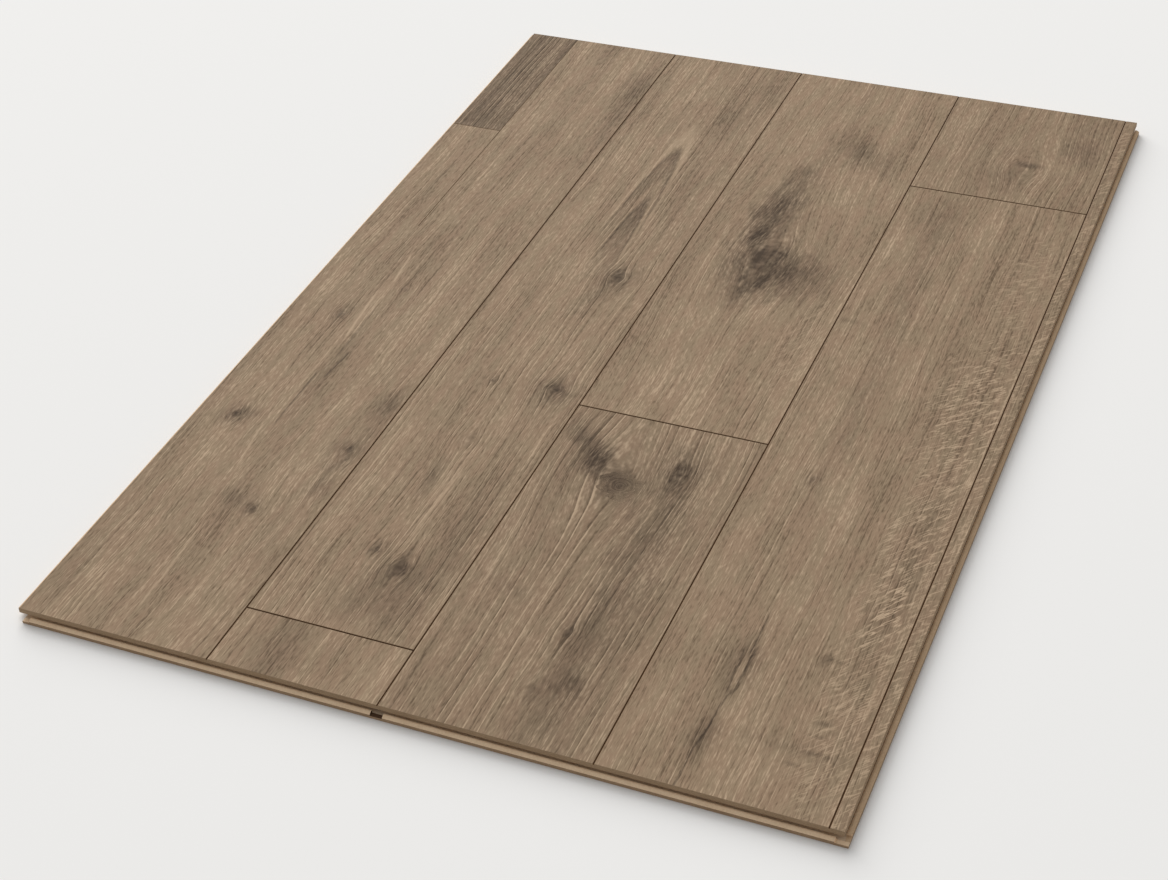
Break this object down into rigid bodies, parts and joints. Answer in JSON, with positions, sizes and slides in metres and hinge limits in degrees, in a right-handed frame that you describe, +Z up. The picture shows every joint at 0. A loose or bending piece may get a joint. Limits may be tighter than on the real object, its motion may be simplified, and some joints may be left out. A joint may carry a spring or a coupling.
{
  "type": "wide plank floorboard",
  "caption": "Flat wide laminate floorboard with an oak-plank face, V-grooves between the planks and click edges: grooves with a locking lip at front and right, tongues at back and left.",
  "frame": {"origin": "on the underside, below the middle of the face", "axes": "+Z up out of the face, +Y along the board; the groove sides face +X and -Y, the tongue sides -X and +Y"},
  "size_m": [0.6078, 0.9078, 0.01],
  "materials": {
    "oak_laminate": "grey-brown oak face, matt and lightly embossed, over a tan pressed-fibre core"
  },
  "bodies": {
    "root": {"floorboard": "oak_laminate"}
  },
  "joints": []
}
